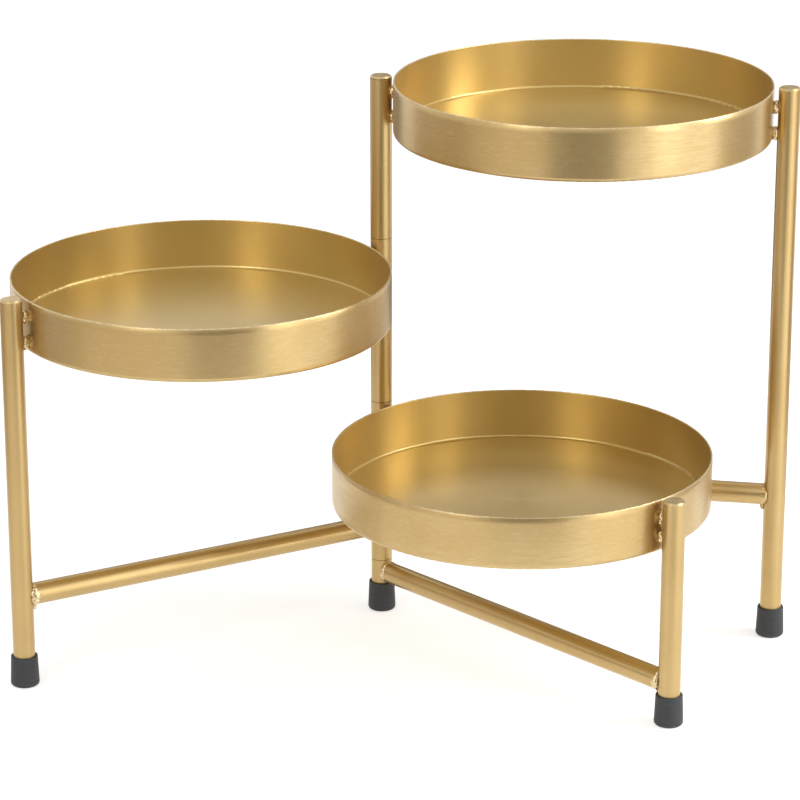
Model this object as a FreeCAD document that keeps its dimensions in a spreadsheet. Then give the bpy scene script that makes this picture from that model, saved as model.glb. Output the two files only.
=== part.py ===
"""Folding three-tier plant stand, in millimetres.

Three round trays at three heights each hang in a frame of their own. A frame is an outer leg on a rubber
foot, a tray held on four short studs, a crossbar low down, and two sleeves on the common post: one beside
the tray and one at the crossbar. The six sleeves are stacked in turn on a pivot tube, so the frames swing
about the post and fold flat on each other. The low frame carries the pivot tube and the post's own foot.

The origin is on the floor, under the post's axis. Each frame is drawn along its own X axis, from the post to
its leg, and is then turned about the post to the bearing at which it stands.
"""
import FreeCAD, Part
import Sketcher
import os

FRAMES = ("high", "middle", "low")

# The length at which a circle is first drawn, before its expressions set it.
ROUGH = 1.0

# Edges closer in height than this lie at the same height.
SAME_HEIGHT = 1e-6

# Driving dimensions: alias, value, meaning.
SIZES = (
    ("tray_radius", 110, "outside radius of a tray"),
    ("tray_depth", 31, "height of a tray, underside to rim"),
    ("sheet_thickness", 1.0, "sheet of the trays"),
    ("tray_corner_radius", 1.5, "radius inside the tray, between floor and wall"),
    ("rim_round", 0.35, "rounding of the rim's two edges"),
    ("tube_radius", 6.35, "outside radius of legs, crossbars and sleeves"),
    ("tube_wall", 1.0, "wall of that tube"),
    ("crossbar_notch", 1.0, "how far a crossbar's square end goes past the near side of post or leg"),
    ("stud_length", 2.5, "gap between a tray's wall and the tube beside it"),
    ("stud_radius", 2.0, "radius of a stud"),
    ("stud_drop", 10.5, "rim down to the axis of the upper stud"),
    ("stud_rise", 5.5, "underside up to the axis of the lower stud, high and middle tray"),
    ("low_stud_rise", 9.5, "underside up to the axis of the lower stud, low tray"),
    ("low_bar_lift", 0.5, "mouth of a foot up to the low crossbar's underside"),
    ("middle_bar_rise", 30, "low crossbar up to the middle one"),
    ("high_bar_rise", 34.5, "middle crossbar up to the high one"),
    ("collar_rise", 1.65, "crossbar's upper side up to the top of its sleeve"),
    ("tray_lift", 4.55, "foot of the low tray's sleeve up to the tray's underside"),
    ("middle_tier_rise", 99.5, "low rim up to the middle rim"),
    ("high_tier_rise", 103.5, "middle rim up to the high rim"),
    ("leg_rise", 1.5, "rim up to the top of the leg beside it"),
    ("low_sleeve_rise", 1.5, "low rim up to the top of its sleeve"),
    ("middle_sleeve_rise", 4, "middle rim up to the top of its sleeve"),
    ("post_drop", 1.3, "high rim down to the top of the post"),
    ("foot_height", 18.3, "height of a rubber foot"),
    ("foot_floor", 4, "rubber under the end of a tube"),
    ("foot_lip", 1.35, "rubber round a tube at the foot's mouth"),
    ("foot_flare", 0.7, "how much wider a foot is at the floor than at its mouth"),
    ("foot_edge_round", 2, "rounding of a foot's lower edge"),
    ("foot_lip_round", 0.5, "rounding of a foot's mouth"),
    ("plug_thickness", 1.3, "head of the plug that closes a tube"),
    ("plug_bevel", 0.9, "bevel round the head"),
    ("plug_depth", 7, "how far a plug goes into its tube"),
    ("pivot_wall", 1.2, "wall of the pivot tube"),
    ("press_clearance", 0.05, "round a plug, or inside a foot"),
    ("running_clearance", 0.08, "pivot tube to sleeve, each side"),
    ("seam_clearance", 0.3, "between sleeves that turn on each other"),
    ("weld_clearance", 0.05, "joint that a weld closes"),
    ("high_bearing", 346.5, "degrees anticlockwise from +X to the high frame"),
    ("middle_bearing", 206, "the same for the middle frame"),
    ("low_bearing", 310, "the same for the low frame"),
)


def size(alias):
    """How an expression names one driving dimension."""
    return f"Sizes.{alias}"


def total(*terms):
    return f"({' + '.join(terms)})"


def difference(*terms):
    """The first term less all the others."""
    return f"({' - '.join(terms)})"


# Lengths that follow from the driving dimensions.
TRAY_CENTRE = total(size("tube_radius"), size("stud_length"), size("tray_radius"))
ARM = f"(2 * {TRAY_CENTRE})"
TUBE_BORE = difference(size("tube_radius"), size("tube_wall"))
PIVOT_RADIUS = difference(TUBE_BORE, size("running_clearance"))
PIVOT_BORE = difference(PIVOT_RADIUS, size("pivot_wall"))
FOOT_BORE = total(size("tube_radius"), size("press_clearance"))
FOOT_TOP_RADIUS = total(FOOT_BORE, size("foot_lip"))
FOOT_BASE_RADIUS = total(FOOT_TOP_RADIUS, size("foot_flare"))

# Heights above the floor, from the lowest crossbar up.
BAR_HEIGHT = {"low": total(size("foot_height"), size("low_bar_lift"), size("tube_radius"))}
BAR_HEIGHT["middle"] = total(BAR_HEIGHT["low"], size("middle_bar_rise"))
BAR_HEIGHT["high"] = total(BAR_HEIGHT["middle"], size("high_bar_rise"))
COLLAR_TOP = {frame: total(BAR_HEIGHT[frame], size("tube_radius"), size("collar_rise")) for frame in FRAMES}
LOW_TRAY_SLEEVE_FOOT = total(COLLAR_TOP["high"], size("seam_clearance"))
RIM_HEIGHT = {"low": total(LOW_TRAY_SLEEVE_FOOT, size("tray_lift"), size("tray_depth"))}
RIM_HEIGHT["middle"] = total(RIM_HEIGHT["low"], size("middle_tier_rise"))
RIM_HEIGHT["high"] = total(RIM_HEIGHT["middle"], size("high_tier_rise"))
UNDERSIDE = {frame: difference(RIM_HEIGHT[frame], size("tray_depth")) for frame in FRAMES}
LEG_PLUG_SEAT = {
    frame: difference(total(RIM_HEIGHT[frame], size("leg_rise")), size("plug_thickness")) for frame in FRAMES
}
POST_PLUG_SEAT = difference(RIM_HEIGHT["high"], size("post_drop"), size("plug_thickness"))
LOWER_STUD = {"high": size("stud_rise"), "middle": size("stud_rise"), "low": size("low_stud_rise")}
UPPER_STUD = difference(size("tray_depth"), size("stud_drop"))

# The sleeves from the floor up: name, frame, height of the foot, height of the top.
SLEEVES = (
    ("low_crossbar_sleeve", "low", size("foot_floor"), COLLAR_TOP["low"]),
    (
        "middle_crossbar_sleeve",
        "middle",
        total(COLLAR_TOP["low"], size("seam_clearance")),
        COLLAR_TOP["middle"],
    ),
    ("high_crossbar_sleeve", "high", total(COLLAR_TOP["middle"], size("seam_clearance")), COLLAR_TOP["high"]),
    ("low_tray_sleeve", "low", LOW_TRAY_SLEEVE_FOOT, total(RIM_HEIGHT["low"], size("low_sleeve_rise"))),
    (
        "middle_tray_sleeve",
        "middle",
        total(RIM_HEIGHT["low"], size("low_sleeve_rise"), size("seam_clearance")),
        total(RIM_HEIGHT["middle"], size("middle_sleeve_rise")),
    ),
    (
        "high_tray_sleeve",
        "high",
        total(RIM_HEIGHT["middle"], size("middle_sleeve_rise"), size("seam_clearance")),
        difference(POST_PLUG_SEAT, size("seam_clearance")),
    ),
)

doc = FreeCAD.newDocument("PlantStand")


def make_sheet():
    """Writes the driving dimensions into the document's spreadsheet."""
    sheet = doc.addObject("Spreadsheet::Sheet", "Sizes")
    for row, (alias, value, meaning) in enumerate(SIZES, start=1):
        sheet.set(f"A{row}", meaning)
        sheet.set(f"B{row}", str(value))
        sheet.setAlias(f"B{row}", alias)
    doc.recompute()
    return sheet


def make_body(name, frame, along, height):
    """Starts a piece that stands at a distance along its frame's arm and at a height."""
    body = doc.addObject("PartDesign::Body", name)
    body.Label = name
    turn = size(f"{frame}_bearing")
    body.setExpression("Placement.Base.x", f"{along} * cos({turn})")
    body.setExpression("Placement.Base.y", f"{along} * sin({turn})")
    body.setExpression("Placement.Base.z", height)
    body.setExpression("Placement.Rotation.Angle", turn)
    return body


def make_sketch(body, name, plane, lift="0"):
    """Starts a sketch on one of the body's own planes, raised along the plane's normal."""
    sketch = body.newObject("Sketcher::SketchObject", name)
    origin_plane = [item for item in body.Origin.OriginFeatures if item.Role == plane][0]
    sketch.AttachmentSupport = [(origin_plane, "")]
    sketch.MapMode = "FlatFace"
    sketch.setExpression("AttachmentOffset.Base.z", lift)
    return sketch


def name_size(sketch, constraint, name, expression):
    """Names a constraint that has just been added and ties its value to an expression."""
    sketch.renameConstraint(constraint, name)
    sketch.setExpression(f"Constraints.{name}", expression)


def add_circle(sketch, name, radius, x="0", y="0"):
    """Draws a circle of a given radius round the point x, y of the sketch."""
    centre = FreeCAD.Vector(ROUGH, ROUGH, 0)
    circle = sketch.addGeometry(Part.Circle(centre, FreeCAD.Vector(0, 0, 1), ROUGH), False)
    # Sketcher counts the sketch's origin as point 1 of element -1, and a circle's centre as its point 3.
    origin = (-1, 1)
    circle_centre = (circle, 3)
    for direction, suffix, place in (("DistanceX", "x", x), ("DistanceY", "y", y)):
        distance = Sketcher.Constraint(direction, *origin, *circle_centre, ROUGH)
        name_size(sketch, sketch.addConstraint(distance), f"{name}_{suffix}", place)
    constraint = sketch.addConstraint(Sketcher.Constraint("Radius", circle, ROUGH))
    name_size(sketch, constraint, f"{name}_radius", radius)


def pad(body, name, sketch, length):
    feature = body.newObject("PartDesign::Pad", name)
    feature.Profile = sketch
    feature.setExpression("Length", length)
    doc.recompute()
    return feature


def pocket(body, name, sketch, length=None):
    """Cuts a sketch's outline out of the body: down to a depth, or right through both ways."""
    before = body.Shape.Volume
    feature = body.newObject("PartDesign::Pocket", name)
    feature.Profile = sketch
    if length is None:
        feature.SideType = "Symmetric"
        feature.Type = "ThroughAll"
    else:
        feature.setExpression("Length", length)
    doc.recompute()
    if not body.Shape.Volume < before:
        raise ValueError(f"{body.Label}: {name} cuts nothing")
    return feature


def ring_edges(shape, height):
    """Names of the closed circular edges that lie at one height."""
    return [
        f"Edge{number}"
        for number, edge in enumerate(shape.Edges, start=1)
        if edge.isClosed() and max(edge.BoundBox.ZLength, abs(edge.BoundBox.ZMin - height)) < SAME_HEIGHT
    ]


def fillet(body, name, base, edges, radius):
    feature = body.newObject("PartDesign::Fillet", name)
    feature.Base = (base, edges)
    feature.setExpression("Radius", radius)
    doc.recompute()
    return feature


def make_tube(name, frame, along, foot, top, outer, bore):
    """An upright tube between two heights."""
    body = make_body(name, frame, along, foot)
    sketch = make_sketch(body, f"{name}_section", "XY_Plane")
    add_circle(sketch, "outer", outer)
    add_circle(sketch, "bore", bore)
    pad(body, f"{name}_length", sketch, difference(top, foot))
    return body


def make_tray(frame):
    """A pressed pan: a disc rounded below, hollowed to the sheet's thickness, with a rounded rim."""
    name = f"{frame}_tray"
    body = make_body(name, frame, TRAY_CENTRE, UNDERSIDE[frame])
    outline = make_sketch(body, f"{name}_outline", "XY_Plane")
    add_circle(outline, "wall", size("tray_radius"))
    disc = pad(body, f"{name}_disc", outline, size("tray_depth"))
    outer_corner = total(size("tray_corner_radius"), size("sheet_thickness"))
    fillet(body, f"{name}_outer_corner", disc, ring_edges(disc.Shape, 0), outer_corner)
    mouth = make_sketch(body, f"{name}_mouth", "XY_Plane", size("tray_depth"))
    add_circle(mouth, "wall", difference(size("tray_radius"), size("sheet_thickness")))
    inside_depth = difference(size("tray_depth"), size("sheet_thickness"))
    hollow = pocket(body, f"{name}_hollow", mouth, inside_depth)
    floor_edges = ring_edges(hollow.Shape, sheet.sheet_thickness)
    pan = fillet(body, f"{name}_inner_corner", hollow, floor_edges, size("tray_corner_radius"))
    rim_edges = ring_edges(pan.Shape, sheet.tray_depth)
    rim_round = f"min({size('rim_round')}; {size('sheet_thickness')} / 3)"
    fillet(body, f"{name}_rim", pan, rim_edges, rim_round)
    return body


def make_crossbar(frame):
    """A level tube from post to leg, its square ends notched for the two tubes that they are welded to."""
    name = f"{frame}_crossbar"
    body = make_body(name, frame, "0", BAR_HEIGHT[frame])
    square_end = difference(size("tube_radius"), size("crossbar_notch"))
    section = make_sketch(body, f"{name}_section", "YZ_Plane", square_end)
    add_circle(section, "outer", size("tube_radius"))
    add_circle(section, "bore", TUBE_BORE)
    pad(body, f"{name}_length", section, difference(ARM, square_end, square_end))
    notches = make_sketch(body, f"{name}_notches", "XY_Plane")
    notch_radius = total(size("tube_radius"), size("weld_clearance"))
    add_circle(notches, "post", notch_radius)
    add_circle(notches, "leg", notch_radius, x=ARM)
    pocket(body, f"{name}_ends", notches)
    return body


def make_studs(frame):
    """The four studs of a tray: two rods along the arm, of which only the stretches in the two gaps stay."""
    name = f"{frame}_tray_studs"
    body = make_body(name, frame, "0", UNDERSIDE[frame])
    section = make_sketch(body, f"{name}_section", "YZ_Plane")
    add_circle(section, "lower", size("stud_radius"), y=LOWER_STUD[frame])
    add_circle(section, "upper", size("stud_radius"), y=UPPER_STUD)
    pad(body, f"{name}_rods", section, ARM)
    neighbours = make_sketch(body, f"{name}_neighbours", "XY_Plane")
    tube_radius = total(size("tube_radius"), size("weld_clearance"))
    add_circle(neighbours, "post", tube_radius)
    add_circle(neighbours, "tray", total(size("tray_radius"), size("weld_clearance")), x=TRAY_CENTRE)
    add_circle(neighbours, "leg", tube_radius, x=ARM)
    pocket(body, f"{name}_gaps", neighbours)
    return body


def make_plug(name, frame, along, seat, bore):
    """A bevelled disc that closes a tube's end, with a spigot down into the bore."""
    body = make_body(name, frame, along, seat)
    rim = make_sketch(body, f"{name}_rim", "XY_Plane")
    add_circle(rim, "head", size("tube_radius"))
    head = pad(body, f"{name}_head", rim, size("plug_thickness"))
    bevel = body.newObject("PartDesign::Chamfer", f"{name}_bevel")
    bevel.Base = (head, ring_edges(head.Shape, sheet.plug_thickness))
    bevel.setExpression("Size", f"min({size('plug_bevel')}; 0.9 * {size('plug_thickness')})")
    doc.recompute()
    section = make_sketch(body, f"{name}_spigot_section", "XY_Plane")
    add_circle(section, "spigot", difference(bore, size("press_clearance")))
    spigot = pad(body, f"{name}_spigot", section, size("plug_depth"))
    spigot.Reversed = True
    return body


def make_foot(name, frame, along):
    """A rubber cup, wider at the floor, pushed over the end of a tube."""
    body = make_body(name, frame, along, "0")
    base = make_sketch(body, f"{name}_base", "XY_Plane")
    add_circle(base, "base", FOOT_BASE_RADIUS)
    block = pad(body, f"{name}_block", base, size("foot_height"))
    block.setExpression("TaperAngle", f"-atan({size('foot_flare')} / {size('foot_height')})")
    doc.recompute()
    lower = ring_edges(block.Shape, 0)
    rounded = fillet(body, f"{name}_lower_edge", block, lower, size("foot_edge_round"))
    upper = ring_edges(rounded.Shape, sheet.foot_height)
    lip_round = f"min({size('foot_lip_round')}; {size('foot_lip')} / 2)"
    fillet(body, f"{name}_upper_edge", rounded, upper, lip_round)
    mouth = make_sketch(body, f"{name}_mouth", "XY_Plane", size("foot_height"))
    add_circle(mouth, "bore", FOOT_BORE)
    pocket(body, f"{name}_socket", mouth, difference(size("foot_height"), size("foot_floor")))
    return body


def make_frame(frame):
    """A frame's tray, leg, crossbar, studs, plug and foot."""
    leg_foot = size("foot_floor")
    leg_top = LEG_PLUG_SEAT[frame]
    return [
        make_tray(frame),
        make_tube(f"{frame}_leg", frame, ARM, leg_foot, leg_top, size("tube_radius"), TUBE_BORE),
        make_plug(f"{frame}_leg_plug", frame, ARM, leg_top, TUBE_BORE),
        make_crossbar(frame),
        make_studs(frame),
        make_foot(f"{frame}_foot", frame, ARM),
    ]


def make_post():
    """The pivot tube with its plug and foot, and the six sleeves that stand on each other round it."""
    pieces = [
        make_tube("pivot_tube", "low", "0", size("foot_floor"), POST_PLUG_SEAT, PIVOT_RADIUS, PIVOT_BORE),
        make_plug("post_plug", "low", "0", POST_PLUG_SEAT, PIVOT_BORE),
        make_foot("post_foot", "low", "0"),
    ]
    for name, frame, foot, top in SLEEVES:
        pieces.append(make_tube(name, frame, "0", foot, top, size("tube_radius"), TUBE_BORE))
    return pieces


def check(pieces):
    """Stops if any object failed, or if a piece has no sound shape."""
    failed = [item.Label for item in doc.Objects if {"Invalid", "Error"} & set(item.State)]
    if failed:
        raise ValueError(f"failed: {failed}")
    unsound = [piece.Label for piece in pieces if piece.Shape.isNull() or not piece.Shape.isValid()]
    if unsound:
        raise ValueError(f"no sound shape: {unsound}")


sheet = make_sheet()
parts = make_post()
for frame_name in FRAMES:
    parts += make_frame(frame_name)
doc.recompute()
check(parts)
os.makedirs("parts", exist_ok=True)
for part in parts:
    part.Shape.exportStep(f"parts/{part.Label}.step")
    print(f"{part.Label}: {len(part.Shape.Solids)} solid(s), {part.Shape.Volume / 1000:.2f} cm3")
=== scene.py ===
"""Looks of the folding three-tier plant stand: its finishes, weld beads, light and camera.

All lengths are in metres. Bearings of lamps and cards are degrees round the stand from the camera's side,
anticlockwise seen from above.
"""

import math

import bmesh
import bpy
import numpy as np
from mathutils import Matrix, Vector


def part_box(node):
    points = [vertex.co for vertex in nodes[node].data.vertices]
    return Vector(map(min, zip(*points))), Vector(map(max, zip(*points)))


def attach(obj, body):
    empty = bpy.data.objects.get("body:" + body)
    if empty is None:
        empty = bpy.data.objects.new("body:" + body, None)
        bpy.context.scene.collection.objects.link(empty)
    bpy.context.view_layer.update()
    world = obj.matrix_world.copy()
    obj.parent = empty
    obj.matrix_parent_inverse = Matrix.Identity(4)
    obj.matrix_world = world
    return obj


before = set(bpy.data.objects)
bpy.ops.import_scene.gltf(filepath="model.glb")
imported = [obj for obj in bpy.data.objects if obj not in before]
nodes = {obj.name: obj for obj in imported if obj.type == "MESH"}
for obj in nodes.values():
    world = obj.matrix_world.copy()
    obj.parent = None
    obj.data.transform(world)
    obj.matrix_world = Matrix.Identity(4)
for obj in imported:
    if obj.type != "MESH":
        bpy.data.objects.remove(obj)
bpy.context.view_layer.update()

MM = 0.001
FRAMES = ("high", "middle", "low")

# Finishes, as linear colours.
GOLD = (0.57, 0.40, 0.165)
GOLD_DEEP = (0.47, 0.31, 0.11)
GOLD_PALE = (0.72, 0.56, 0.30)
# Pale gold of rubbed edges and rims, which also paints their highlight, and of the painted highlights on weld
# lumps.
GOLD_WEAR_AND_HIGHLIGHT = (0.86, 0.74, 0.50)
# Yellower, paler gold inside the trays: painted light, standing in for the light that a tray's inside gets.
GOLD_INSIDE_PAINTED_LIGHT = (0.61, 0.455, 0.155)
RUBBER = (0.040, 0.043, 0.046)
RUBBER_DUSTY = (0.10, 0.10, 0.10)
ZINC = (0.60, 0.61, 0.63)
ZINC_DULL = (0.42, 0.43, 0.45)

# How metallic the paint is outside the trays, inside them and on the welds, and how coarse its grain is
# outside, where it is 1 inside.
PAINT_METAL = 0.86
INSIDE_METAL = 0.78
WELD_METAL = 0.85
OUTSIDE_GRAIN = 0.25

# Noises in the finishes: how often they change in a metre. Those with three numbers, for the three axes, are
# drawn out along the axis whose number is small.
GRAIN_SCALE = 1900
MOTTLE_SCALE = 22
PATCH_SCALE = 16
WEAR_SCALE = 420
WELD_LUMP_SCALE = 520
RUBBER_GRAIN_SCALE = 1400
SPANGLE_SCALE = 260
TRAY_STREAK_SCALE = (45, 45, 800)
SMEAR_SCALE = (200, 200, 900)
BAR_STREAK_SCALE = (9, 900, 900)
TUBE_STREAK_SCALE = (900, 900, 9)
SCUFF_SCALE = (120, 120, 700)
ZINC_LINE_SCALE = (1500, 1500, 12)

# How much paler brush marks are on a tray's wall and on the tubes.
TRAY_STREAK_GAIN = 0.5
TUBE_STREAK_GAIN = 0.08

# How high the marks in the finishes stand.
GRAIN_HEIGHT = 0.016 * MM
SMEAR_HEIGHT = 0.012 * MM
STREAK_HEIGHT = 0.008 * MM
WELD_LUMP_HEIGHT = 0.05 * MM
RUBBER_GRAIN_HEIGHT = 0.04 * MM
ZINC_LINE_HEIGHT = 0.01 * MM

# In from a tray's outer radius, where the coat of the inside ends and where that of the outside starts.
COAT_BORDER = (0.6 * MM, 0.4 * MM)

# Down from a tray's rim, where its pale edge, partly rubbed paint and partly a painted highlight, ends and
# where it is full.
RIM_WEAR_AND_HIGHLIGHT = (0.7 * MM, 0.1 * MM)

# The outside of a tray's wall draws in a little towards the rim: over this height, by this much.
ROLL_HEIGHT = 4 * MM
ROLL_DEPTH = 0.75 * MM

# Up from the floor, where the dust on a foot ends and where it is thickest.
DUST_HEIGHTS = (6 * MM, 0.5 * MM)

# Welds of the studs: radius of a stud and of the bead round its end, how deep the bead sinks into the pieces
# that it joins, its lumps' spacing, how many thicker blobs sit on one joint and how much thicker they are.
STUD_RADIUS = 2.0 * MM
STUD_BEAD = 1.3 * MM
WELD_SINK = 0.5 * MM
WELD_SPACING = 1.0 * MM
BLOBS = 3
BLOB_SCALE = 1.6

# Welds of the crossbars: half of a bead's width along the bar, above it and beside it, how deep it goes into
# the bar, how far it stands off the bar at most, the radii of the fillet under the bar, and the room that is
# left over the foot.
BEAD_ABOVE = 1.0 * MM
BEAD_BESIDE = {"high": 3.0 * MM, "middle": 3.8 * MM, "low": 2.6 * MM}
BEAD_DEPTH = 1.0 * MM
BEAD_RELIEF = {"high": 0.45 * MM, "middle": 1.3 * MM, "low": 0.9 * MM}
FILLET_RADII = (1.6 * MM, 2.2 * MM, 2.6 * MM)
BEAD_ROOM = 0.15 * MM

# Edge of the cubes in which weld metal is melted together, and how often it is smoothed after that.
WELD_VOXEL = 0.28 * MM
WELD_SMOOTHINGS = 5

# Camera.
CAMERA_PLACE = (-0.10346, -1.93485, 0.79808)
CAMERA_PITCH = 18.898
CAMERA_YAW = 3.39
CAMERA_LENS = 153.0
SENSOR_WIDTH = 36.0

# Light. The softboxes face the middle of the stand, at the height AIM_HEIGHT.
AMBIENT = 0.52
AIM_HEIGHT = 0.17
FLOOR_WHITE = (0.75, 0.75, 0.75)
FLOOR_LIFT = 0.6
FLOOR_RADIUS = 20.0
FLOOR_SIDES = 96
# Tint of the cards' glow, which paints warm, dark reflections into the metal.
CARD_TINT = (1.0, 0.84, 0.7)


class Material:
    """A material's node tree with a Principled shader, and short calls to add and link nodes."""

    def __init__(self, name):
        self.material = bpy.data.materials.new(name)
        self.material.use_nodes = True
        self.tree = self.material.node_tree
        self.shader = self.tree.nodes["Principled BSDF"]

    def add(self, kind, inputs=None, **settings):
        """Adds a node, sets its options and fills its inputs with numbers or with other nodes' outputs."""
        node = self.tree.nodes.new(kind)
        for option, value in settings.items():
            setattr(node, option, value)
        for socket, value in (inputs or {}).items():
            self.fill(node.inputs[socket], value)
        return node

    def fill(self, socket, value):
        if isinstance(value, bpy.types.NodeSocket):
            self.tree.links.new(value, socket)
        else:
            socket.default_value = value

    def set(self, **inputs):
        """Fills the shader's inputs. An underscore in a name stands for a space."""
        for name, value in inputs.items():
            self.fill(self.shader.inputs[name.replace("_", " ")], value)

    def place(self, centre=(0, 0, 0), turn=0.0, scale=(1, 1, 1)):
        """Object coordinates from a centre, turned about Z by an angle and then scaled."""
        coordinates = self.add("ShaderNodeTexCoord").outputs["Object"]
        moved = self.add("ShaderNodeVectorMath", {0: coordinates, 1: centre}, operation="SUBTRACT").outputs[0]
        inputs = {"Vector": moved, "Rotation": (0, 0, turn), "Scale": scale}
        return self.add("ShaderNodeMapping", inputs, vector_type="POINT").outputs[0]

    def noise(self, where, scale=1.0, detail=3.0, roughness=0.55):
        inputs = {"Vector": where, "Scale": scale, "Detail": detail, "Roughness": roughness}
        return self.add("ShaderNodeTexNoise", inputs).outputs["Fac"]

    def ramp(self, value, low, high, to_low=0.0, to_high=1.0):
        """Maps a value's stretch from low to high onto another stretch, and holds it there."""
        inputs = {"Value": value, "From Min": low, "From Max": high, "To Min": to_low, "To Max": to_high}
        return self.add("ShaderNodeMapRange", inputs).outputs[0]

    def math(self, operation, first, second=0.0):
        return self.add("ShaderNodeMath", {0: first, 1: second}, operation=operation).outputs[0]

    def mix(self, share, first, second):
        """Mixes two colours."""
        node = self.add("ShaderNodeMix", data_type="RGBA")
        for socket, value in ((node.inputs[0], share), (node.inputs[6], first), (node.inputs[7], second)):
            if isinstance(value, tuple):
                value = (*value, 1.0)
            self.fill(socket, value)
        return node.outputs[2]

    def bump(self, height, distance, normal=None):
        inputs = {"Height": height, "Distance": distance, "Strength": 1.0}
        if normal:
            inputs["Normal"] = normal
        return self.add("ShaderNodeBump", inputs).outputs[0]

    def height(self, where):
        return self.add("ShaderNodeSeparateXYZ", {0: where}).outputs["Z"]

    def pointiness(self, low, high, to_low=0.0, to_high=1.0):
        """How far a place stands out as an edge or lies in a corner, ramped."""
        pointiness = self.add("ShaderNodeNewGeometry").outputs["Pointiness"]
        return self.ramp(pointiness, low, high, to_low, to_high)


def brush_marks(paint, where, along):
    """Streaks, drawn out in the coordinates called along, that come and go in patches."""
    streaks = paint.ramp(paint.noise(along, detail=4, roughness=0.7), 0.36, 0.64)
    patches = paint.ramp(paint.noise(where, scale=PATCH_SCALE, detail=2), 0.42, 0.62)
    return paint.math("MULTIPLY", streaks, patches)


def tray_zones(paint, where, radius, rim):
    """Where a tray shows its wall's outside, its rim's rubbed edge with a painted highlight, and the roll to
    the rim.
    """
    flat = paint.add("ShaderNodeVectorMath", {0: where, 1: (1, 1, 0)}, operation="MULTIPLY").outputs[0]
    distance = paint.add("ShaderNodeVectorMath", {0: flat}, operation="LENGTH").outputs["Value"]
    height = paint.height(where)
    outside = paint.ramp(distance, radius - COAT_BORDER[0], radius - COAT_BORDER[1])
    edge = paint.ramp(height, rim - RIM_WEAR_AND_HIGHLIGHT[0], rim - RIM_WEAR_AND_HIGHLIGHT[1])
    roll = paint.math("POWER", paint.ramp(height, rim - ROLL_HEIGHT, rim), 2.0)
    return outside, edge, paint.math("MULTIPLY", roll, outside)


def gold_paint(name, streak_scale, streak_gain, centre=(0, 0, 0), turn=0.0, tray=None, edge_wear_and_highlight=False):
    """Satin gold paint over brushed steel.

    The brush marks show through it, long where streak_scale is small. A tray, given as its radius and the
    height of its rim, has them only on the outside of its wall, with short smears. It has a grainier coat
    inside, painted yellower and paler there as painted light. Its rim is painted pale, partly rubbed paint
    and partly a painted highlight, and small pieces have their edges painted pale the same way.
    """
    paint = Material(name)
    where = paint.place(centre)
    grain = paint.noise(where, scale=GRAIN_SCALE, detail=2)
    mottle = paint.noise(where, scale=MOTTLE_SCALE, detail=4)
    marks = brush_marks(paint, where, paint.place(centre, turn, streak_scale))
    metal, coarseness, smears, roll, edge, inside = PAINT_METAL, OUTSIDE_GRAIN, 0.0, 0.0, 0.0, 0.0
    if tray:
        outside, edge, roll = tray_zones(paint, where, *tray)
        inside = paint.math("SUBTRACT", 1.0, outside)
        metal = paint.ramp(inside, 0, 1, PAINT_METAL, INSIDE_METAL)
        coarseness = paint.ramp(inside, 0, 1, OUTSIDE_GRAIN, 1.0)
        marks = paint.math("MULTIPLY", marks, outside)
        smears = paint.ramp(paint.noise(paint.place(centre, turn, SMEAR_SCALE), detail=3), 0.5, 0.72)
        smears = paint.math("MULTIPLY", smears, outside)
    # Small pieces get their pointed edges painted pale: partly rubbed paint, partly a painted highlight.
    if edge_wear_and_highlight:
        edge = paint.pointiness(0.53, 0.6)
    wear_and_highlight_noise = paint.ramp(paint.noise(where, scale=WEAR_SCALE, detail=3), 0.45, 0.6, 0.35, 1.0)
    wear_and_highlight = paint.math("MULTIPLY", edge, wear_and_highlight_noise)
    colour = paint.mix(paint.ramp(mottle, 0.3, 0.7, 0.0, 0.5), GOLD, GOLD_DEEP)
    colour = paint.mix(paint.ramp(grain, 0.35, 0.75, 0.0, 0.2), colour, GOLD_PALE)
    # The inside of a tray is painted yellower and paler: painted light.
    colour = paint.mix(paint.math("MULTIPLY", inside, 0.6), colour, GOLD_INSIDE_PAINTED_LIGHT)
    colour = paint.mix(paint.math("MULTIPLY", marks, streak_gain), colour, GOLD_PALE)
    colour = paint.mix(paint.math("MULTIPLY", smears, 0.3), colour, GOLD_PALE)
    # Edges and the rim are painted pale: partly rubbed paint, partly a painted highlight.
    colour = paint.mix(paint.math("MULTIPLY", wear_and_highlight, 0.7), colour, GOLD_WEAR_AND_HIGHLIGHT)
    roughness = paint.ramp(mottle, 0.3, 0.7, 0.33, 0.38)
    roughness = paint.math("SUBTRACT", roughness, paint.math("MULTIPLY", marks, 0.06))
    roughness = paint.math("SUBTRACT", roughness, paint.math("MULTIPLY", inside, 0.03))
    surface = paint.bump(paint.math("MULTIPLY", grain, coarseness), GRAIN_HEIGHT)
    surface = paint.bump(paint.math("SUBTRACT", 1.0, roll), ROLL_DEPTH, surface)
    surface = paint.bump(smears, SMEAR_HEIGHT, surface)
    surface = paint.bump(marks, STREAK_HEIGHT, surface)
    paint.set(
        Base_Color=colour,
        Metallic=metal,
        Roughness=roughness,
        Normal=surface,
        Coat_Weight=0.25,
        Coat_Roughness=0.3,
        Anisotropic=0.5,
        Anisotropic_Rotation=0.25,
        Tangent=paint.add("ShaderNodeTangent", direction_type="RADIAL", axis="Z").outputs[0],
    )
    return paint.material


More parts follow.
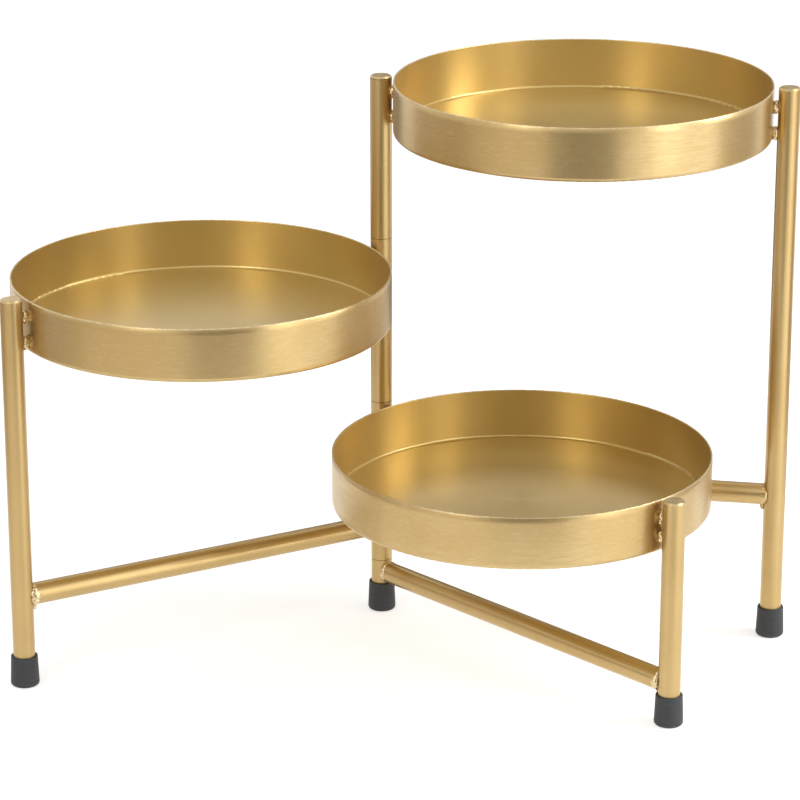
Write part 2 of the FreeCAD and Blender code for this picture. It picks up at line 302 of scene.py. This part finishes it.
def weld_paint(name, highlight_share):
    """The same paint, thin and glossier over a weld. The tops of its lumps are painted pale by a share: a
    painted highlight.
    """
    paint = Material(name)
    lumps = paint.noise(paint.place(), scale=WELD_LUMP_SCALE, detail=3)
    paint.set(
        # Pale tops of the lumps: a painted highlight.
        Base_Color=paint.mix(paint.pointiness(0.44, 0.56, 0.0, highlight_share), GOLD, GOLD_WEAR_AND_HIGHLIGHT),
        Metallic=WELD_METAL,
        Roughness=paint.ramp(lumps, 0.3, 0.7, 0.24, 0.34),
        Normal=paint.bump(lumps, WELD_LUMP_HEIGHT),
        Coat_Weight=0.2,
        Coat_Roughness=0.2,
    )
    return paint.material


def black_rubber(name):
    """Matt moulded rubber, dusty and scuffed where it meets the floor."""
    rubber = Material(name)
    where = rubber.place()
    grain = rubber.noise(where, scale=RUBBER_GRAIN_SCALE, detail=3)
    scuffs = rubber.noise(rubber.place(scale=SCUFF_SCALE), detail=4, roughness=0.7)
    low = rubber.ramp(rubber.height(where), *DUST_HEIGHTS)
    dust = rubber.math("MULTIPLY", rubber.ramp(scuffs, 0.5, 0.68), rubber.ramp(low, 0, 1, 0.15, 0.8))
    rubber.set(
        Base_Color=rubber.mix(dust, RUBBER, RUBBER_DUSTY),
        Roughness=rubber.ramp(grain, 0.3, 0.7, 0.5, 0.66),
        Normal=rubber.bump(grain, RUBBER_GRAIN_HEIGHT),
    )
    return rubber.material


def zinc_steel(name):
    """Zinc-plated drawn steel: dull patches, and fine lines along the tube."""
    zinc = Material(name)
    lines = zinc.noise(zinc.place(scale=ZINC_LINE_SCALE), detail=4)
    spangle = zinc.noise(zinc.place(), scale=SPANGLE_SCALE, detail=2)
    zinc.set(
        Base_Color=zinc.mix(zinc.ramp(spangle, 0.4, 0.65), ZINC, ZINC_DULL),
        Metallic=1.0,
        Roughness=zinc.ramp(lines, 0.3, 0.7, 0.24, 0.42),
        Normal=zinc.bump(lines, ZINC_LINE_HEIGHT),
    )
    return zinc.material


def upright_axis(node):
    """Where an upright round node's axis stands, and its radius, from its box."""
    low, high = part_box(node)
    centre = (low + high) / 2
    return Vector((centre.x, centre.y, 0)), (high.x - low.x) / 2


def paint_node(name, material):
    for slot in nodes[name].material_slots:
        slot.material = material


def finish_frame(frame_name):
    """Gives a frame's nodes their finishes. Its tray and its crossbar each have a paint of their own."""
    leg, _ = upright_axis(f"{frame_name}_leg")
    bearing = math.atan2(leg.y, leg.x)
    centre, radius = upright_axis(f"{frame_name}_tray")
    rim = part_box(f"{frame_name}_tray")[1].z
    tray_name, bar_name = f"{frame_name}_tray_paint", f"{frame_name}_crossbar_paint"
    tray = gold_paint(tray_name, TRAY_STREAK_SCALE, TRAY_STREAK_GAIN, tuple(centre), tray=(radius, rim))
    bar = gold_paint(bar_name, BAR_STREAK_SCALE, TUBE_STREAK_GAIN, turn=-bearing)
    paint_node(f"{frame_name}_tray", tray)
    paint_node(f"{frame_name}_crossbar", bar)
    for part in ("leg", "tray_sleeve", "crossbar_sleeve"):
        paint_node(f"{frame_name}_{part}", upright_paint)
    for part in ("leg_plug", "tray_studs"):
        paint_node(f"{frame_name}_{part}", small_part_paint)
    paint_node(f"{frame_name}_foot", rubber)


def turns_round(radius):
    """Angles round a circle of this radius, for lumps that lie about WELD_SPACING apart."""
    count = round(2 * math.pi * radius / WELD_SPACING)
    return np.arange(count) * 2 * math.pi / count


def joint_corner(rod_radius, rod_height, wall_centre, wall_radius, side):
    """Places along the corner between a level rod and an upright round wall that it ends on.

    Each is a point and the two ways out of the corner, off the wall and off the rod. They are in the arm's
    own coordinates: along it from the post's axis, across it, and up. The rod leaves the wall away from the
    post where side is 1, and towards it where side is -1.
    """
    turns = turns_round(rod_radius)
    level = np.zeros(len(turns))
    across = rod_radius * np.cos(turns)
    along = wall_centre + side * np.sqrt(np.maximum(wall_radius**2 - across**2, 0))
    up = rod_radius * np.sin(turns)
    off_rod = np.column_stack([level, np.cos(turns), np.sin(turns)])
    off_wall = np.column_stack([along - wall_centre, across, level]) / wall_radius
    return list(zip(np.column_stack([along, across, rod_height + up]), off_wall, off_rod))


def add_lump(shape, arm, place, radii, turn=0.0):
    """Adds a lump at a place on an arm, turned about the arm's length."""
    matrix = arm @ Matrix.Translation(place) @ Matrix.Rotation(turn, 4, "X") @ Matrix.Diagonal((*radii, 1))
    bmesh.ops.create_icosphere(shape, subdivisions=2, radius=1.0, matrix=matrix)


def add_stud_bead(shape, arm, corner, thickest, rng):
    """Lays a bead of uneven lumps along the corner round a stud's end, with some broader blobs."""
    blobs = rng.choice(len(corner), BLOBS, replace=False)
    for index, (point, off_wall, off_rod) in enumerate(corner):
        radius = STUD_BEAD * rng.uniform(0.85, 1.05)
        if index in blobs:
            radius = radius * BLOB_SCALE
        thick = min(radius, thickest)
        place = point + off_wall * (thick - WELD_SINK) + off_rod * rng.uniform(0.1, 0.4) * radius
        add_lump(shape, arm, place, (thick, radius, radius))


def add_crossbar_bead(shape, arm, bar_radius, bar_height, wall_face, side, beside, relief, lowest, rng):
    """Lays a bead round a crossbar's square end, at the near face of the round wall that it ends on.

    The wall falls away at the bar's two sides, so the bead is broadest there. A fillet fills the corner under
    the bar, as far down as there is room.
    """
    for turn in turns_round(bar_radius):
        width = BEAD_ABOVE + (beside - BEAD_ABOVE) * math.cos(turn) ** 2 * rng.uniform(0.75, 1.0)
        tall = BEAD_DEPTH + relief * rng.uniform(0.2, 1.0)
        along = wall_face + side * rng.uniform(0.0, 0.2) * width
        out = bar_radius - BEAD_DEPTH
        place = Vector((along, out * math.cos(turn), bar_height + out * math.sin(turn)))
        place.z = max(place.z, lowest + tall)
        add_lump(shape, arm, place, (width, tall, WELD_SPACING * rng.uniform(0.9, 1.6)), turn)
    fillet_height = max(bar_height - bar_radius - BEAD_DEPTH, lowest + FILLET_RADII[2])
    add_lump(shape, arm, (wall_face + side * FILLET_RADII[0] / 2, 0, fillet_height), FILLET_RADII)


def add_object(name, data):
    thing = bpy.data.objects.new(name, data)
    bpy.context.scene.collection.objects.link(thing)
    return thing


def add_shape(name, shape):
    """Adds an object with a shape as its mesh, and frees the shape."""
    mesh = bpy.data.meshes.new(name)
    shape.to_mesh(mesh)
    shape.free()
    return add_object(name, mesh)


def melt(name, body, shape, finish):
    """Melts lumps into one piece of weld metal that rides on a body."""
    lumps = add_shape(f"{name}_lumps", shape)
    remesh = lumps.modifiers.new("melt", "REMESH")
    remesh.mode = "VOXEL"
    remesh.voxel_size = WELD_VOXEL
    remesh.use_smooth_shade = True
    settle = lumps.modifiers.new("settle", "SMOOTH")
    settle.iterations = WELD_SMOOTHINGS
    melted = bpy.data.meshes.new_from_object(lumps.evaluated_get(bpy.context.evaluated_depsgraph_get()))
    bpy.data.objects.remove(lumps)
    piece = add_object(name, melted)
    melted.materials.clear()
    melted.materials.append(finish)
    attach(piece, body)


def weld_frame(frame_name, seed):
    """The welds of one frame: both ends of its four studs, and both ends of its crossbar."""
    rng = np.random.default_rng(seed)
    leg, tube_radius = upright_axis(f"{frame_name}_leg")
    arm_length = leg.length
    along = leg.normalized()
    across = Vector((-along.y, along.x, 0))
    arm = Matrix((along, across, Vector((0, 0, 1)))).transposed().to_4x4()
    _, tray_radius = upright_axis(f"{frame_name}_tray")
    stud_low, stud_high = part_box(f"{frame_name}_tray_studs")
    walls = (
        (0, tube_radius, 1),
        (arm_length / 2, tray_radius, -1),
        (arm_length / 2, tray_radius, 1),
        (arm_length, tube_radius, -1),
    )
    gap = arm_length / 2 - tray_radius - tube_radius
    thickest = gap / 2 + WELD_SINK / 2
    stud_metal = bmesh.new()
    for height in (stud_low.z + STUD_RADIUS, stud_high.z - STUD_RADIUS):
        for wall in walls:
            add_stud_bead(stud_metal, arm, joint_corner(STUD_RADIUS, height, *wall), thickest, rng)
    melt(f"{frame_name}_stud_welds", f"{frame_name}_frame", stud_metal, weld_full_highlight)
    bar_low, bar_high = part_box(f"{frame_name}_crossbar")
    bar_height = (bar_low.z + bar_high.z) / 2
    bead = (BEAD_BESIDE[frame_name], BEAD_RELIEF[frame_name])
    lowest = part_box(f"{frame_name}_foot")[1].z + BEAD_ROOM
    bar_metal = bmesh.new()
    for wall_face, side in ((tube_radius, 1), (arm_length - tube_radius, -1)):
        add_crossbar_bead(bar_metal, arm, tube_radius, bar_height, wall_face, side, *bead, lowest, rng)
    # The high frame's crossbar welds get a faint painted highlight, the others a full one.
    finish = weld_faint_highlight if frame_name == "high" else weld_full_highlight
    melt(f"{frame_name}_crossbar_welds", f"{frame_name}_frame", bar_metal, finish)


def light_path_share(tree):
    """1 for rays from the camera, for mirror rays and for rays through glass, else 0."""
    path = tree.nodes.new("ShaderNodeLightPath")
    share = path.outputs["Is Camera Ray"]
    for ray in ("Is Glossy Ray", "Is Transmission Ray"):
        either = tree.nodes.new("ShaderNodeMath")
        either.operation = "MAXIMUM"
        tree.links.new(share, either.inputs[0])
        tree.links.new(path.outputs[ray], either.inputs[1])
        share = either.outputs[0]
    return share


def make_world():
    """Soft even light from all round, before a white background."""
    world = bpy.data.worlds.new("studio")
    bpy.context.scene.world = world
    world.use_nodes = True
    tree = world.node_tree
    light = tree.nodes["Background"]
    light.inputs["Color"].default_value = (1, 1, 1, 1)
    light.inputs["Strength"].default_value = AMBIENT
    backdrop = tree.nodes.new("ShaderNodeBackground")
    backdrop.inputs["Color"].default_value = (1, 1, 1, 1)
    choose = tree.nodes.new("ShaderNodeMixShader")
    tree.links.new(light_path_share(tree), choose.inputs[0])
    tree.links.new(light.outputs[0], choose.inputs[1])
    tree.links.new(backdrop.outputs[0], choose.inputs[2])
    tree.links.new(choose.outputs[0], tree.nodes["World Output"].inputs["Surface"])


def bare_material(name):
    """A material with nothing but its output, and its node tree."""
    material = bpy.data.materials.new(name)
    material.use_nodes = True
    tree = material.node_tree
    tree.nodes.remove(tree.nodes["Principled BSDF"])
    return material, tree


def make_floor():
    """A white floor that keeps the stand's soft shadow."""
    shape = bmesh.new()
    bmesh.ops.create_circle(shape, cap_ends=True, segments=FLOOR_SIDES, radius=FLOOR_RADIUS)
    floor = add_shape("floor", shape)
    material, tree = bare_material("floor_white")
    matt = tree.nodes.new("ShaderNodeBsdfDiffuse")
    matt.inputs["Color"].default_value = (*FLOOR_WHITE, 1)
    lift = tree.nodes.new("ShaderNodeEmission")
    strength = tree.nodes.new("ShaderNodeMath")
    strength.operation = "MULTIPLY"
    strength.inputs[1].default_value = FLOOR_LIFT
    tree.links.new(light_path_share(tree), strength.inputs[0])
    tree.links.new(strength.outputs[0], lift.inputs["Strength"])
    both = tree.nodes.new("ShaderNodeAddShader")
    tree.links.new(matt.outputs[0], both.inputs[0])
    tree.links.new(lift.outputs[0], both.inputs[1])
    tree.links.new(both.outputs[0], tree.nodes["Material Output"].inputs["Surface"])
    floor.data.materials.append(material)


def round_stand(bearing, distance, height):
    """A place round the stand: a bearing from the camera's side, a distance and a height."""
    angle = math.radians(bearing - 90)
    return Vector((distance * math.cos(angle), distance * math.sin(angle), height))


def add_softbox(name, bearing, distance, height, width, tall, radiance):
    """Hangs a softbox round the stand, its face to the middle of the stand."""
    lamp = bpy.data.lights.new(name, "AREA")
    lamp.shape = "RECTANGLE"
    lamp.size = width
    lamp.size_y = tall
    lamp.energy = radiance * math.pi * width * tall
    softbox = add_object(name, lamp)
    softbox.location = round_stand(bearing, distance, height)
    aim = Vector((0, 0, AIM_HEIGHT)) - softbox.location
    softbox.rotation_euler = aim.to_track_quat("-Z", "Y").to_euler()
    softbox.visible_camera = False


def reflection_shade_glow(name, shade):
    """A glow of one even shade, whatever light falls on it. Where the metal mirrors it, it paints a darker
    reflection.
    """
    reflection_glow, tree = bare_material(name)
    glow = tree.nodes.new("ShaderNodeEmission")
    glow.inputs["Color"].default_value = (*(shade * share for share in CARD_TINT), 1)
    tree.links.new(glow.outputs[0], tree.nodes["Material Output"].inputs["Surface"])
    return reflection_glow


def add_card(name, bearing, distance, width, tall, shade, lift=0.0):
    """Stands a glowing card upright round the stand. Only mirror rays see it: it paints a darker reflection,
    a band in the metal.
    """
    shape = bmesh.new()
    bmesh.ops.create_grid(shape, x_segments=1, y_segments=1, size=0.5)
    bmesh.ops.scale(shape, vec=(width, tall, 1), verts=shape.verts)
    card = add_shape(name, shape)
    card.data.materials.append(reflection_shade_glow(f"{name}_paper", shade))
    card.location = round_stand(bearing, distance, lift + tall / 2)
    card.rotation_euler = (math.radians(90), 0, math.radians(bearing))
    card.visible_camera = False
    card.visible_diffuse = False
    card.visible_shadow = False


def make_camera():
    camera = bpy.data.cameras.new("camera")
    camera.lens = CAMERA_LENS
    camera.sensor_width = SENSOR_WIDTH
    viewer = add_object("camera", camera)
    viewer.location = CAMERA_PLACE
    viewer.rotation_euler = (math.radians(90 - CAMERA_PITCH), 0, math.radians(-CAMERA_YAW))
    bpy.context.scene.camera = viewer


upright_paint = gold_paint("tube_paint", TUBE_STREAK_SCALE, TUBE_STREAK_GAIN)
small_part_paint = gold_paint("small_part_paint", TUBE_STREAK_SCALE, TUBE_STREAK_GAIN, edge_wear_and_highlight=True)
# Two copies of the weld paint, one with a full and one with a faint painted highlight.
weld_full_highlight = weld_paint("weld_full_highlight", highlight_share=1.0)
weld_faint_highlight = weld_paint("weld_faint_highlight", highlight_share=0.15)
rubber = black_rubber("rubber")
for number, frame_name in enumerate(FRAMES):
    finish_frame(frame_name)
    weld_frame(frame_name, seed=10 * number)
paint_node("post_plug", small_part_paint)
paint_node("post_foot", rubber)
paint_node("pivot_tube", zinc_steel("zinc_steel"))

make_world()
make_floor()
add_softbox("key", bearing=45, distance=2.0, height=0.65, width=0.55, tall=1.3, radiance=2.75)
add_softbox("high_key", bearing=79, distance=1.7, height=1.3, width=0.6, tall=1.9, radiance=7.0)
add_softbox("fill", bearing=-38, distance=1.3, height=1.1, width=0.4, tall=1.1, radiance=3.3)
# Glowing cards that only mirror rays see: they paint darker reflections into the metal.
add_card("front_card", bearing=3, distance=0.72, width=0.5, tall=0.4, shade=0.1)
add_card("front_left_card", bearing=-43, distance=0.72, width=0.7, tall=0.22, shade=0.72)
add_card("left_card", bearing=-96, distance=0.6, width=0.65, tall=0.24, shade=0.5)
add_card("right_card", bearing=90, distance=0.6, width=0.34, tall=0.29, shade=0.45)
add_card("low_right_card", bearing=120, distance=0.38, width=0.3, tall=0.13, shade=0.6)
add_card("low_left_card", bearing=-150, distance=0.38, width=0.3, tall=0.13, shade=0.5)
add_card("back_card", bearing=180, distance=0.5, width=0.7, tall=0.3, shade=0.15)
add_card("high_back_card", bearing=162, distance=0.52, width=0.38, tall=0.19, shade=0.2, lift=0.415)
make_camera()
bpy.context.scene.view_settings.view_transform = "Standard"
